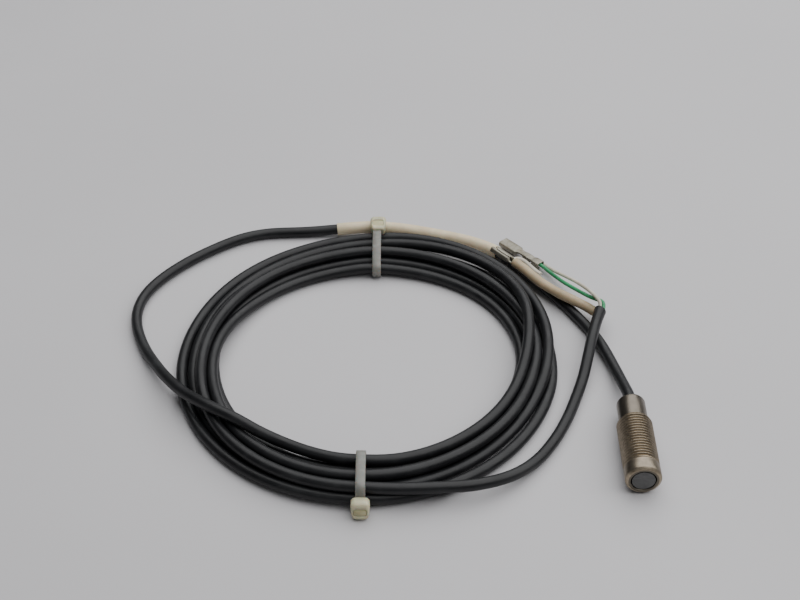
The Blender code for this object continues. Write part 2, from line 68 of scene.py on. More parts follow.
# Cable and wires
CABLE_RADIUS = 1.65
JACKET_BORE = 1.38
JACKET_FLARE = 0.2
FLARE_LENGTH = 9.0
SLEEVE_RADIUS = 1.97
SLEEVE_BORE = 1.69
LEAD_SLEEVE_RADIUS = 1.5
LEAD_SLEEVE_BORE = 1.15
GREEN_WIRE_RADIUS = 0.6
WHITE_WIRE_RADIUS = 0.55
WHITE_END_RADIUS = 0.75
SLEEVED_WIRE_RADIUS = 0.5
BARE_STRAND_RADIUS = 0.13
CUT_SLANT = -0.22                 # slope of the cut across the jacket's end
SLANT_LEAD = 1.0                  # the slope starts this far before the open end's floor
BORE_DEPTH = 3.0                  # how far an open end can be looked into
WOBBLE_WAVES = (0.9, 0.31)        # radians per millimetre, of the uneven width of sleeves and wires
POINT_SPACING = 2.5               # between the points of the cable
COIL_EVERY = 2                    # every second settled point of the coil is kept
CURVE_STEPS = 16                  # between two given points of a route

# Cable ties
TIE_THICKNESS = 1.0
TIE_WIDTH = 2.7
FRONT_TIE_X = -75.6
BACK_TIE_X = -72.5
TIE_PLAY = 0.03
TIE_EDGE = 0.16
TIE_SIDES = 96
FRONT_HEAD_LENGTH = 5.4
FRONT_HEAD_OUT = 1.0              # from the strap's front to the head's middle
FRONT_HEAD_HEIGHT = 2.95
FRONT_HEAD_TILT = -8.0
BACK_HEAD_LENGTH = 5.7
BACK_HEAD_ASIDE = 0.35
BACK_HEAD_Y = 96.95
BACK_HEAD_RISE = 0.5              # from the strap's top to the head's middle
BACK_HEAD_TILT = 78.0
# Sections of a head: share of its length from the middle, half width, half depth, shift
HEAD_SECTIONS = [
    (-0.5, 1.35, 1.1, 0.0), (-0.485, 1.75, 1.45, 0.0), (-0.42, 2.1, 1.72, 0.0),
    (-0.2, 2.42, 1.8, 0.0), (0.15, 2.58, 1.8, 0.0), (0.33, 2.52, 1.74, 0.0),
    (0.43, 2.2, 1.5, 0.1), (0.49, 1.6, 0.95, 0.25), (0.5, 1.35, 0.7, 0.3)]
# Sections of the slot and of the strap's end in it: distance along, half width, half depth, shift
SLOT_SECTIONS = [(-3.0, 1.8, 1.2, 0.0), (3.0, 1.8, 1.2, 0.0)]
STRAP_END_SECTIONS = [
    (-1.60, 1.74, 1.13, 0.0), (1.30, 1.74, 1.13, 0.0), (1.58, 1.68, 1.06, 0.0),
    (1.66, 1.5, 0.9, 0.0)]
SLOT_RISE = -0.05                 # share of the head's length above its middle
BLOCK_SIDES = 32
CORNER_POWER = 5                  # of the rounded rectangle that a block's section is

# Routes of the cable and its wires, from the sensor to the cable's cut end
LEAD_ROUTE = [
    (0.0, 15.3, 5.0), (0.0, 18.3, 4.9), (-0.5, 22.0, 4.2), (-1.4, 28.2, 2.9), (-3.1, 37.0, 1.9),
    (-5.3, 45.4, 1.65), (-8.9, 53.2, 1.65), (-13.8, 62.0, 1.65), (-19.4, 70.2, 1.65),
    (-25.4, 78.6, 1.7), (-29.3, 83.9, 1.75), (-32.6, 87.7, 1.9)]
SLEEVE_ROUTE = [
    (-33.0, 88.15, 1.97), (-37.2, 91.6, 1.97), (-44.2, 95.0, 1.97), (-52.0, 97.5, 2.0),
    (-60.0, 99.4, 2.4), (-68.0, 100.5, 2.95), (BACK_TIE_X, 100.8, 3.05),
    (-78.0, 100.9, 2.9), (-86.4, 100.6, 2.1)]
LOOP_ROUTE = [
    (-97.9, 99.7, 1.65), (-106.5, 99.6, 1.65), (-112.9, 98.1, 1.65), (-118.9, 95.3, 1.65),
    (-129.6, 87.1, 1.65), (-134.6, 82.2, 1.65), (-139.3, 76.7, 1.65), (-143.0, 70.9, 1.65),
    (-145.2, 65.0, 1.65), (-145.9, 59.0, 1.65), (-145.2, 53.2, 1.65), (-143.4, 47.4, 1.75),
    (-141.3, 42.6, 2.0)]
TAIL_ROUTE = [
    (-27.8, -4.6, 2.0),
    (-22.2, 3.6, 1.65), (-17.9, 12.2, 1.65), (-14.6, 20.8, 1.8), (-12.0, 28.2, 2.7),
    (-10.1, 35.2, 4.1), (-8.3, 42.3, 5.2), (-6.3, 49.4, 5.5), (-4.4, 55.4, 5.4)]
LEAD_SLEEVE_ROUTE = [
    (-5.0, 57.1, 2.8), (-8.2, 59.0, 3.9), (-13.8, 62.0, 5.1), (-16.6, 64.3, 5.15),
    (-20.8, 68.6, 5.1), (-23.6, 72.4, 5.05), (-25.8, 75.7, 5.0), (-28.9, 79.7, 5.0)]
SLEEVED_WIRE_ROUTE = [
    (-5.4, 52.6, 5.1), (-4.7, 54.9, 5.0), (-4.2, 56.3, 4.7), (-3.9, 57.1, 3.9), (-4.2, 57.2, 3.0),
    (-5.6, 57.5, 2.9), (-7.2, 58.4, 3.5)]
GREEN_ROUTE = [
    (-4.9, 52.0, 5.6), (-3.9, 54.6, 5.5), (-3.3, 56.6, 6.0), (-3.5, 58.1, 6.5), (-4.6, 58.9, 6.6),
    (-6.6, 60.6, 6.2), (-9.6, 64.3, 5.4), (-14.0, 71.2, 3.6), (-17.3, 77.3, 2.3),
    (-20.0, 81.7, 1.9), (-23.5, 85.7, 1.75)]
WHITE_ROUTE = [
    (-5.7, 51.8, 6.0), (-4.8, 54.6, 6.1), (-4.5, 56.5, 7.2), (-5.2, 57.9, 8.0), (-7.2, 62.6, 7.3),
    (-10.2, 69.0, 5.4), (-13.4, 74.6, 3.4), (-16.6, 79.0, 2.2), (-19.1, 82.6, 1.7)]
WHITE_END_ROUTE = [
    (-20.6, 77.6, 1.6), (-22.0, 79.0, 1.7), (-23.6, 80.6, 2.3), (-25.4, 82.0, 3.2), (-27.2, 82.3, 4.1),
    (-29.2, 81.2, 4.7)]
BARE_ROUTES = [
    [(-18.6, 82.0, 1.75), (-20.1, 83.6, 1.7), (-22.0, 85.8, 1.75), (-24.1, 87.6, 1.7)],
    [(-18.8, 82.0, 1.55), (-20.6, 83.5, 1.5), (-22.4, 85.2, 1.55), (-24.4, 87.3, 1.5)],
    [(-18.7, 82.2, 1.9), (-20.6, 83.9, 2.0), (-22.5, 86.0, 1.9), (-24.5, 87.8, 1.8)]]

# Coil: its middle line is an ellipse, and the lay says where the cable is in each turn, as turns
# since the front tie, distance outward from the middle line, and height of its centre
COIL_CENTRE = (-75.0, 37.0)
COIL_HALF_AXES = (49.0, 50.5)
STATIONS = 72                     # a turn's points while it settles
SETTLING_STEPS = 900
LATE_STEP = 780                   # after this step nothing pulls the turns to where they were laid
PULL = 0.03                       # share of the way back to the laid place, each step
BENDING = (0.30, 0.02)            # share of the way to the neighbours' middle, until LATE_STEP and after
TURN_CLEARANCE = 0.02
MOST_TURNS_APART = 6
HELD_START = 0.03                 # turns, from the start of the lay, that stay where they were laid
HELD_END = 6.03                   # the turn past which the cable stays where it was laid
TIE_LIFT_TURNS = 0.055            # turns on each side of a tie where its strap lifts the cable
EASING = (5, 0.5)                 # passes, and share of the way to the neighbours' middle
UNEASED_POINTS = 8                # the cable's first points, in and behind the barrel
COIL_LAY = [
    (-0.25, 14.6, 2.6), (-0.234, 11.4, 3.7), (-0.213, 8.3, 5.4), (-0.195, 5.5, 6.9),
    (-0.178, 2.4, 7.7), (-0.152, -1.3, 7.8), (-0.134, -3.9, 7.1), (-0.117, -6.2, 6.1),
    (-0.079, -7.3, 5.2), (-0.04, -6.5, 5.2), (0.0, -4.2, 5.6), (0.0625, -5.7, 4.9),
    (0.125, -5.2, 4.7), (0.1875, -4.1, 4.6), (0.24, -2.5, 5.0), (0.265, -0.6, 6.6),
    (0.295, 1.8, 7.9), (0.33, 4.2, 7.8), (0.375, 5.7, 5.6), (0.4375, 5.1, 4.6),
    (0.46, 4.6, 3.6), (0.5, 4.0, 2.8), (0.5417, 3.5, 1.65), (0.5833, 3.0, 1.65),
    (0.625, 2.7, 1.65), (0.6667, 1.3, 1.65), (0.7083, 1.4, 1.65), (0.75, 1.5, 1.65),
    (0.875, 1.8, 1.65),
    (1.0, 2.2, 2.7), (1.0625, 1.2, 1.65), (1.125, 0.8, 1.65), (1.1875, 1.3, 1.65),
    (1.217, 2.9, 4.0), (1.25, 4.5, 5.0), (1.3125, 6.9, 4.7), (1.375, 8.8, 4.1),
    (1.4375, 9.2, 3.8), (1.5, 7.3, 2.8), (1.5417, 6.8, 1.65), (1.5833, 6.3, 1.65),
    (1.625, 6.0, 1.65), (1.6667, 4.6, 1.65), (1.7083, 4.9, 1.65), (1.75, 5.15, 1.65),
    (1.875, 5.2, 1.65),
    (2.0, 5.65, 2.7), (2.0625, 5.4, 1.65), (2.125, 5.3, 1.65), (2.1875, 5.1, 1.65),
    (2.25, 4.9, 1.65), (2.3125, 6.0, 1.65), (2.375, 5.0, 1.65), (2.4375, 2.0, 1.65),
    (2.5, -1.9, 2.7), (2.5417, -1.8, 1.65), (2.5833, -1.2, 1.65), (2.625, -0.6, 1.65),
    (2.6667, -0.8, 3.9), (2.7083, -1.1, 3.9), (2.75, -1.3, 3.4), (2.8125, -1.5, 2.2),
    (2.875, -1.5, 1.65),
    (3.0, -1.2, 2.7), (3.0625, -2.7, 1.65), (3.125, -3.0, 1.65), (3.1875, -2.1, 1.65),
    (3.25, 1.0, 1.65), (3.3125, 1.0, 1.65), (3.375, -1.0, 1.65), (3.4375, -3.2, 1.65),
    (3.5, -5.3, 2.7), (3.5417, -5.1, 1.65), (3.5833, -4.6, 1.65), (3.625, -3.9, 1.65),
    (3.6667, -2.7, 1.65), (3.7083, -3.4, 1.65), (3.75, -4.0, 1.65), (3.875, -4.8, 1.65),
    (4.0, -4.4, 2.7), (4.0625, -6.0, 1.65), (4.125, -6.3, 1.65), (4.1875, -5.4, 1.65),
    (4.25, -2.6, 1.65), (4.3125, -2.4, 1.65), (4.375, -4.3, 1.65), (4.4375, -6.8, 1.65),
    (4.5, -8.7, 2.7), (4.5417, -8.5, 1.65), (4.5833, -8.0, 1.65), (4.625, -7.1, 1.65),
    (4.6667, -5.9, 1.8), (4.7083, -5.0, 3.9), (4.75, -4.2, 5.0), (4.8125, -2.9, 4.8),
    (4.875, -1.2, 4.7), (4.9375, -0.4, 4.8),
    (5.0, 0.3, 5.5), (5.0625, -1.2, 4.6), (5.125, -1.4, 4.5), (5.1875, -0.5, 4.5),
    (5.25, 1.2, 4.9), (5.3125, 1.0, 4.7), (5.375, 0.3, 4.7), (5.4375, -0.7, 4.5),
    (5.5, -3.6, 5.4), (5.5417, -3.5, 4.6), (5.5833, -3.1, 4.6), (5.625, -2.5, 4.7),
    (5.6667, -3.4, 5.6), (5.7083, -3.0, 6.6), (5.75, -2.0, 6.9), (5.8125, 0.9, 6.3),
    (5.875, 2.6, 5.0), (5.9375, 3.4, 4.8),
    (6.0, 4.0, 5.5), (6.04, 6.2, 5.4), (6.07, 9.1, 5.0), (6.087, 11.1, 4.4), (6.11, 12.8, 3.2)]

# Blade terminals: front of the receptacle, back of the crimp, and roll about the length
LYING_TERMINAL = ((-31.6, 95.1, 1.2), (-20.2, 81.9, 1.88), 180.0)
LEANING_TERMINAL = ((-35.0, 86.5, 5.0), (-29.8, 80.5, 5.0), -25.0)
SHEET_THICKNESS = 0.34
SHEET_EDGE = 0.06
SHEET_FOLD = 0.3
FLOOR_BELOW_AXIS = 0.72
CRIMPS_LENGTH = 7.2
# Sections of the folded sheet: distance from the front of the receptacle, or of the crimps, half
# width, height of the sides, width of the lip, dip of the lip's edge, and height of the floor
RECEPTACLE_SECTIONS = [
    (0.0, 1.62, 1.42, 0.95, 0.05, 0.0), (0.35, 1.70, 1.34, 0.95, 0.16, 0.04),
    (1.2, 1.72, 1.32, 0.95, 0.34, 0.05), (3.6, 1.72, 1.30, 0.95, 0.40, 0.05),
    (6.4, 1.72, 1.32, 0.95, 0.30, 0.05), (7.1, 1.70, 1.34, 0.88, 0.10, 0.05),
    (7.45, 1.40, 0.90, 0.30, 0.0, 0.05), (7.9, 1.05, 0.42, 0.05, 0.0, 0.05),
    (8.6, 0.92, 0.36, 0.02, 0.0, 0.08)]
CRIMP_SECTIONS = [
    (-0.3, 0.95, 0.50, 0.05, 0.0, 0.10), (0.0, 1.05, 1.25, 0.55, 0.0, 0.05),
    (0.3, 1.12, 1.42, 0.74, 0.25, 0.0), (1.5, 1.12, 1.38, 0.78, 0.45, 0.0),
    (2.7, 1.12, 1.42, 0.74, 0.25, 0.0), (3.0, 1.02, 0.70, 0.10, 0.0, 0.05),
    (3.5, 0.95, 0.50, 0.03, 0.0, 0.08), (4.0, 1.15, 0.90, 0.30, 0.0, 0.0),
    (4.4, 1.32, 1.75, 0.72, 0.10, -0.1), (5.8, 1.34, 1.80, 0.76, 0.20, -0.1),
    (7.0, 1.32, 1.78, 0.72, 0.10, -0.1)]

# Camera
CAMERA_PLACE = (-65.1, -291.06, 295.93)
CAMERA_AIM = (-65.1, 66.9, 0.0)
LENS = 67.13
FILM_WIDTH = 36.0

# Studio, in metres: each light's name, place, size and watts
LIGHT_AIM = (-0.065, 0.04, 0.0)
LIGHTS = [
    ("overhead_softbox", (0.20, 0.25, 0.75), (1.9, 1.4), 20.2),
    ("front_fill", (-0.35, -0.7, 0.55), (0.7, 0.5), 0.4),
    ("side_fill", (0.8, 0.1, 0.4), (0.5, 0.5), 0.3)]
WORLD_COLOUR = (0.80, 0.81, 0.84, 1.0)
WORLD_STRENGTH = 0.09
FLOOR_REACH = 3.0
FLOOR_HEIGHT = -0.0002
NOISE_ROUGHNESS = 0.55


# ---------------------------------------------------------------- camera and light

def add_camera():
    data = bpy.data.cameras.new("camera")
    data.sensor_width = FILM_WIDTH
    data.lens = LENS
    data.clip_start = 0.01
    data.clip_end = 20.0
    camera = bpy.data.objects.new("camera", data)
    bpy.context.scene.collection.objects.link(camera)
    camera.location = Vector(CAMERA_PLACE) * MM
    aim = Vector(CAMERA_AIM) * MM - camera.location
    camera.rotation_euler = aim.to_track_quat("-Z", "Y").to_euler()
    bpy.context.scene.camera = camera


def add_lights():
    for name, place, size, watts in LIGHTS:
        data = bpy.data.lights.new(name, "AREA")
        data.shape = "RECTANGLE"
        data.size, data.size_y = size
        data.energy = watts
        light = bpy.data.objects.new(name, data)
        bpy.context.scene.collection.objects.link(light)
        light.location = place
        light.rotation_euler = (Vector(LIGHT_AIM) - Vector(place)).to_track_quat("-Z", "Y").to_euler()
    world = bpy.data.worlds.new("studio")
    world.use_nodes = True
    background = world.node_tree.nodes["Background"]
    background.inputs["Color"].default_value = WORLD_COLOUR
    background.inputs["Strength"].default_value = WORLD_STRENGTH
    bpy.context.scene.world = world


# ---------------------------------------------------------------- materials

class Look:
    """A procedural material in the making: a Principled shader fed by noise in object space."""

    def __init__(self, name, roughness, metallic=0.0, **sockets):
        self.material = bpy.data.materials.new(name)
        self.material.use_nodes = True
        self.tree = self.material.node_tree
        self.shader = self.tree.nodes["Principled BSDF"]
        self.shader.inputs["Roughness"].default_value = roughness
        self.shader.inputs["Metallic"].default_value = metallic
        for socket, value in sockets.items():
            self.shader.inputs[socket.replace("_", " ")].default_value = value
        self.place = self.node("ShaderNodeTexCoord").outputs["Object"]

    def node(self, kind, settings=None, **inputs):
        node = self.tree.nodes.new(kind)
        for key, value in (settings or {}).items():
            setattr(node, key, value)
        for key, value in inputs.items():
            socket = node.inputs[key]
            if isinstance(value, bpy.types.NodeSocket):
                self.tree.links.new(value, socket)
            else:
                socket.default_value = value
        return node

    def stretched(self, scale):
        return self.node("ShaderNodeMapping", Vector=self.place, Scale=scale).outputs["Vector"]

    def noise(self, grain_mm, detail=4.0, place=None):
        """Noise whose features are about grain_mm across."""
        return self.node("ShaderNodeTexNoise", Vector=place or self.place, Scale=1.0 / (grain_mm * MM),
                         Detail=detail, Roughness=NOISE_ROUGHNESS).outputs["Fac"]

    def ramp(self, value, stops):
        node = self.node("ShaderNodeValToRGB", Fac=value)
        elements = node.color_ramp.elements
        while len(elements) < len(stops):
            elements.new(0.5)
        for element, (position, colour) in zip(elements, stops):
            element.position = position
            element.color = (*colour, 1.0)
        return node.outputs["Color"]

    def range(self, value, low, high, to_low, to_high):
        node = self.node("ShaderNodeMapRange", Value=value)
        for key, number in (("From Min", low), ("From Max", high), ("To Min", to_low), ("To Max", to_high)):
            node.inputs[key].default_value = number
        return node.outputs["Result"]

    def math(self, operation, first, second=0.0):
        node = self.node("ShaderNodeMath", {"operation": operation})
        for socket, value in zip(node.inputs, (first, second)):
            if isinstance(value, bpy.types.NodeSocket):
                self.tree.links.new(value, socket)
            else:
                socket.default_value = value
        return node.outputs["Value"]

    def mix(self, share, first, second):
        node = self.node("ShaderNodeMix", {"data_type": "RGBA", "blend_type": "MIX"})
        for index, value in ((0, share), (6, first), (7, second)):
            if isinstance(value, bpy.types.NodeSocket):
                self.tree.links.new(value, node.inputs[index])
            else:
                node.inputs[index].default_value = value if index == 0 else (*value, 1.0)
        return node.outputs[2]

    def colour(self, value):
        self.tree.links.new(value, self.shader.inputs["Base Color"])

    def rough(self, value):
        self.tree.links.new(value, self.shader.inputs["Roughness"])

    def bump(self, height, depth_mm, strength=1.0, onto=None):
        node = self.node("ShaderNodeBump", Height=height, Strength=strength, Distance=depth_mm * MM)
        if onto:
            self.tree.links.new(onto, node.inputs["Normal"])
        self.tree.links.new(node.outputs["Normal"], self.shader.inputs["Normal"])
        return node.outputs["Normal"]


def plastic(name, dark, light, roughness, grain_mm=1.2, bump_mm=0.01):
    """Moulded or extruded plastic: two close shades, uneven gloss and a fine surface grain."""
    look = Look(name, roughness)
    look.colour(look.ramp(look.noise(grain_mm * 4), [(0.3, dark), (0.7, light)]))
    look.rough(look.range(look.noise(grain_mm * 2.5), 0.3, 0.7, roughness - 0.06, roughness + 0.08))
    coarse = look.bump(look.noise(grain_mm * 3, 2.0), bump_mm * 4, 0.5)
    look.bump(look.noise(grain_mm * 0.25), bump_mm, 0.6, onto=coarse)
    return look.material


def cable_jacket():
    look = Look("cable_jacket", 0.4, Specular_IOR_Level=0.36)
    dust = look.range(look.noise(7.0, 6.0), 0.52, 0.75, 0.0, 1.0)
    base = look.ramp(look.noise(14.0, 3.0), [(0.3, (0.006, 0.0063, 0.0073)), (0.7, (0.010, 0.0105, 0.012))])
    look.colour(look.mix(dust, base, (0.018, 0.019, 0.020)))
    look.rough(look.range(look.noise(3.5, 5.0), 0.3, 0.7, 0.36, 0.50))
    wavy = look.bump(look.noise(5.0, 2.0), 0.10, 0.6)
    look.bump(look.noise(0.35), 0.012, 0.7, onto=wavy)
    return look.material


def cream_tubing(name, dark, light):
    look = Look(name, 0.5, Subsurface_Weight=0.12, Subsurface_Scale=0.0012)
    stain = look.range(look.noise(9.0, 5.0), 0.5, 0.72, 0.0, 0.8)
    base = look.ramp(look.noise(6.0, 3.0), [(0.3, dark), (0.7, light)])
    look.colour(look.mix(stain, base, tuple(0.86 * value for value in dark)))
    look.rough(look.range(look.noise(2.0), 0.3, 0.7, 0.42, 0.6))
    wavy = look.bump(look.noise(4.0, 2.0), 0.14, 0.6)
    look.bump(look.noise(0.3), 0.015, 0.7, onto=wavy)
    return look.material


def nylon(name, dark, light):
    look = Look(name, 0.38, Subsurface_Weight=0.25, Subsurface_Scale=0.0015)
    look.colour(look.ramp(look.noise(2.2, 4.0), [(0.3, dark), (0.7, light)]))
    look.rough(look.range(look.noise(0.9), 0.3, 0.7, 0.30, 0.48))
    look.bump(look.noise(0.4), 0.02, 0.6)
    return look.material


def axis_radius(look):
    """Distance from the barrel's axis, in metres."""
    parts = look.node("ShaderNodeSeparateXYZ", Vector=look.place)
    height = look.math("SUBTRACT", parts.outputs["Z"], AXIS_HEIGHT * MM)
    squares = look.math("ADD", look.math("MULTIPLY", parts.outputs["X"], parts.outputs["X"]),
                        look.math("MULTIPLY", height, height))
    return look.math("SQRT", squares)


def nickel_plate():
    look = Look("nickel", 0.3, 1.0)
    radius = axis_radius(look)
    root = (THREAD_RADIUS - THREAD_DEPTH) * MM
    clean = look.ramp(look.noise(3.0, 5.0), [(0.3, (0.158, 0.139, 0.114)), (0.7, (0.193, 0.171, 0.142))])
    grime = look.ramp(look.noise(1.2, 5.0), [(0.3, (0.265, 0.217, 0.156)), (0.7, (0.48, 0.40, 0.29))])
    thread = look.math("MULTIPLY", look.range(radius, root, root + 0.62 * MM, 1.0, 0.35),
                       look.range(radius, root - 0.28 * MM, root - 0.22 * MM, 0.0, 1.0))
    along = look.node("ShaderNodeSeparateXYZ", Vector=look.place).outputs["Y"]
    # Painted shade: towards the face, the front chamfer and ring take a darker colour that stands in for the
    # dark reflection they show.
    rim = look.range(along, (FRONT + 0.2) * MM, (FRONT + FRONT_CHAMFER) * MM, 0.75, 0.0)
    clean_with_painted_shade_rim = look.mix(rim, clean, (0.13, 0.115, 0.09))
    look.colour(look.mix(thread, clean_with_painted_shade_rim, grime))
    look.rough(look.math("ADD", look.range(look.noise(2.4, 3.0), 0.3, 0.7, 0.31, 0.38),
                         look.math("MULTIPLY", thread, 0.12)))
    turning = look.noise(0.14, 2.0, look.stretched((0.06, 1.0, 0.06)))
    lathe = look.bump(turning, 0.006, 0.6)
    look.bump(look.noise(0.7), 0.008, 0.5, onto=lathe)
    return look.material


def tinned_sheet():
    look = Look("tinned_metal", 0.5, 0.85)
    tarnish = look.range(look.noise(1.8, 6.0), 0.48, 0.72, 0.0, 1.0)
    base = look.ramp(look.noise(0.8), [(0.3, (0.26, 0.245, 0.20)), (0.7, (0.33, 0.315, 0.265))])
    look.colour(look.mix(tarnish, base, (0.20, 0.175, 0.13)))
    look.rough(look.range(look.noise(0.9, 5.0), 0.3, 0.7, 0.42, 0.60))
    look.bump(look.noise(0.25), 0.012, 0.7)
    return look.material


def sensing_plastic():
    look = Look("face_plastic", 0.4)
    scratches = look.noise(0.5, 3.0, look.stretched((0.12, 1.0, 1.6)))
    base = look.ramp(look.noise(2.0), [(0.3, (0.066, 0.066, 0.065)), (0.7, (0.106, 0.106, 0.103))])
    look.colour(look.mix(look.range(scratches, 0.6, 0.72, 0.0, 0.7), base, (0.16, 0.165, 0.17)))
    look.rough(look.range(look.noise(0.8, 5.0), 0.3, 0.7, 0.32, 0.52))
    look.bump(scratches, 0.01, 0.5)
    return look.material


def copper_winding():
    look = Look("copper_wire", 0.3, 1.0)
    wires = look.node("ShaderNodeTexWave", {"bands_direction": "Y"}, Vector=look.place, Scale=2200.0,
                      Distortion=0.4).outputs["Fac"]
    look.colour(look.ramp(wires, [(0.1, (0.20, 0.06, 0.02)), (0.6, (0.60, 0.26, 0.10))]))
    look.bump(wires, 0.05)
    return look.material


def solder_mask():
    look = Look("board", 0.4)
    tracks = look.node("ShaderNodeTexBrick", {"offset": 0.5}, Vector=look.place, Scale=420.0)
    tracks.inputs["Color1"].default_value = (0.015, 0.11, 0.045, 1.0)
    tracks.inputs["Color2"].default_value = (0.020, 0.13, 0.055, 1.0)
    tracks.inputs["Mortar"].default_value = (0.06, 0.24, 0.11, 1.0)
    tracks.inputs["Mortar Size"].default_value = 0.08
    look.colour(tracks.outputs["Color"])
    look.rough(look.range(look.noise(1.0), 0.3, 0.7, 0.35, 0.5))
    look.bump(look.noise(0.5), 0.02)
    return look.material


def floor_card():
    look = Look("floor", 0.62)
    shades = [(0.3, (0.515, 0.507, 0.522)), (0.7, (0.545, 0.537, 0.552))]
    look.colour(look.ramp(look.noise(120.0, 3.0), shades))
    look.rough(look.range(look.noise(30.0), 0.3, 0.7, 0.55, 0.7))
    look.bump(look.noise(0.6), 0.01, 0.3)
    return look.material


# ---------------------------------------------------------------- shapes

def finished(name, mesh, material, sharp_degrees=40.0):
    mesh.materials.append(material)
    mesh.shade_smooth()
    mesh.set_sharp_from_angle(angle=math.radians(sharp_degrees))
    obj = bpy.data.objects.new(name, mesh)
    bpy.context.scene.collection.objects.link(obj)
    return obj


def bridged(name, loops, material, closed=False, sharp_degrees=40.0):
    """A skin over loops of equally many points; its two ends are capped unless it is closed."""
    sides = len(loops[0])
    points = [tuple(float(value) * MM for value in point) for loop in loops for point in loop]
    faces = []
    count = len(loops)
    for row in range(count if closed else count - 1):
        here, there = row * sides, (row + 1) % count * sides
        for side in range(sides):
            step = (side + 1) % sides
            faces.append((here + side, here + step, there + step, there + side))
    if not closed:
        faces.append(tuple(reversed(range(sides))))
        faces.append(tuple(range((count - 1) * sides, count * sides)))
    mesh = bpy.data.meshes.new(name)
    mesh.from_pydata(points, [], faces)
    tidy = bmesh.new()
    tidy.from_mesh(mesh)
    bmesh.ops.remove_doubles(tidy, verts=tidy.verts, dist=1e-7)
    bmesh.ops.recalc_face_normals(tidy, faces=tidy.faces)
    tidy.to_mesh(mesh)
    tidy.free()
    return finished(name, mesh, material, sharp_degrees)


def smooth_route(points, spacing):
    """Evenly spaced points on a smooth curve through the given ones."""
    knots = np.array(points, float)
    knots = np.vstack([2 * knots[0] - knots[1], knots, 2 * knots[-1] - knots[-2]])
    fine = []
    for before, start, end, after in zip(knots, knots[1:], knots[2:], knots[3:]):
        for t in np.linspace(0.0, 1.0, CURVE_STEPS, endpoint=False):
            fine.append(0.5 * (2 * start + (end - before) * t
                               + (2 * before - 5 * start + 4 * end - after) * t ** 2
                               + (3 * start - before - 3 * end + after) * t ** 3))
    fine = np.array(fine + [knots[-2]])
    travelled = np.concatenate([[0.0], np.cumsum(np.linalg.norm(np.diff(fine, axis=0), axis=1))])
    even = np.linspace(0.0, travelled[-1], max(3, round(travelled[-1] / spacing) + 1))
    return np.column_stack([np.interp(even, travelled, fine[:, axis]) for axis in range(3)])


class Line:
    """A centre line with a frame that doesn't twist along it."""

    def __init__(self, points):
        self.points = np.array(points, float)
        self.travelled = np.concatenate(
            [[0.0], np.cumsum(np.linalg.norm(np.diff(self.points, axis=0), axis=1))])
        self.length = self.travelled[-1]
        ahead = np.gradient(self.points, self.travelled, axis=0)
        self.ahead = ahead / np.linalg.norm(ahead, axis=1)[:, None]
        side = np.cross(self.ahead[0], (0.0, 0.0, 1.0))
        self.side = []
        for direction in self.ahead:
            side = side - direction * np.dot(side, direction)
            side = side / np.linalg.norm(side)
            self.side.append(side)
        self.side = np.array(self.side)

    def at(self, values, distance):
        return np.array([np.interp(distance, self.travelled, values[:, axis]) for axis in range(3)])

    def ring(self, distance, radius, sides, slant=0.0):
        ahead = self.at(self.ahead, distance)
        side = self.at(self.side, distance)
        up = np.cross(side, ahead)
        centre = self.at(self.points, distance)
        return [centre + radius * (math.cos(turn) * side + math.sin(turn) * up)
                + slant * radius * math.cos(turn) * ahead
                for turn in np.linspace(0.0, 2 * math.pi, sides, endpoint=False)]


def tube(name, points, radius, material, start_bore=None, end_bore=None, sides=20, slant=0.0,
         edge=0.08, wobble=0.0, flare=0.0):
    """A cable, wire or sleeve; a bore leaves that end open, and flare widens the far end."""
    line = Line(points)
    rings = []
    if start_bore:
        rings += [(BORE_DEPTH, start_bore), (0.0, start_bore)]
    rings += [(0.0, radius - edge), (edge, radius)]
    fast, slow = WOBBLE_WAVES
    rings += [(distance, radius * (1.0 + wobble * math.sin(fast * distance) * math.sin(slow * distance))
               + flare * max(0.0, 1.0 - (line.length - distance) / FLARE_LENGTH) ** 2)
              for distance in line.travelled if edge < distance < line.length - edge]
    rings += [(line.length - edge, radius + flare), (line.length, radius + flare - edge)]
    if end_bore:
        rings += [(line.length, end_bore), (line.length - BORE_DEPTH, end_bore)]
    tilt_from = line.length - BORE_DEPTH - SLANT_LEAD
    loops = [line.ring(distance, size, sides,
                       slant * max(0.0, (distance - tilt_from) / (line.length - tilt_from)))
             for distance, size in rings]
    return bridged(name, loops, material)


def wrapped_outline(circles):
    """The outline of a band stretched round circles of (across, height, radius), with its normals."""
    outline = []
    for turn in np.linspace(0.0, 2 * math.pi, TIE_SIDES, endpoint=False):
        across, up = math.cos(turn), math.sin(turn)
        y, z, radius = max(circles, key=lambda c: c[0] * across + c[1] * up + c[2])
        outline.append((y + radius * across, z + radius * up, across, up))
    return outline


def lofted(name, sections, place, turn, material):
    """A moulded block through rounded sections of (height, half width, half depth, shift)."""
    loops = []
    for height, width, depth, shift in sections:
        loop = []
        for angle in np.linspace(0.0, 2 * math.pi, BLOCK_SIDES, endpoint=False):
            c, s = math.cos(angle), math.sin(angle)
            grow = (abs(c) ** CORNER_POWER + abs(s) ** CORNER_POWER) ** (-1.0 / CORNER_POWER)
            point = turn @ Vector((width * c * grow, depth * s * grow + shift, height)) + Vector(place)
            loop.append(tuple(point))
        loops.append(loop)
    return bridged(name, loops, material, sharp_degrees=55.0)


# ---------------------------------------------------------------- cable path

def ellipse_frame(turns):
    """Points of the coil's middle line and the outward directions there."""
    angle = 2 * math.pi * np.asarray(turns)
    a, b = COIL_HALF_AXES
    centre = np.column_stack([COIL_CENTRE[0] + a * np.sin(angle), COIL_CENTRE[1] - b * np.cos(angle)])
    outward = np.column_stack([b * np.sin(angle), -a * np.cos(angle)])
    return centre, outward / np.linalg.norm(outward, axis=1)[:, None]


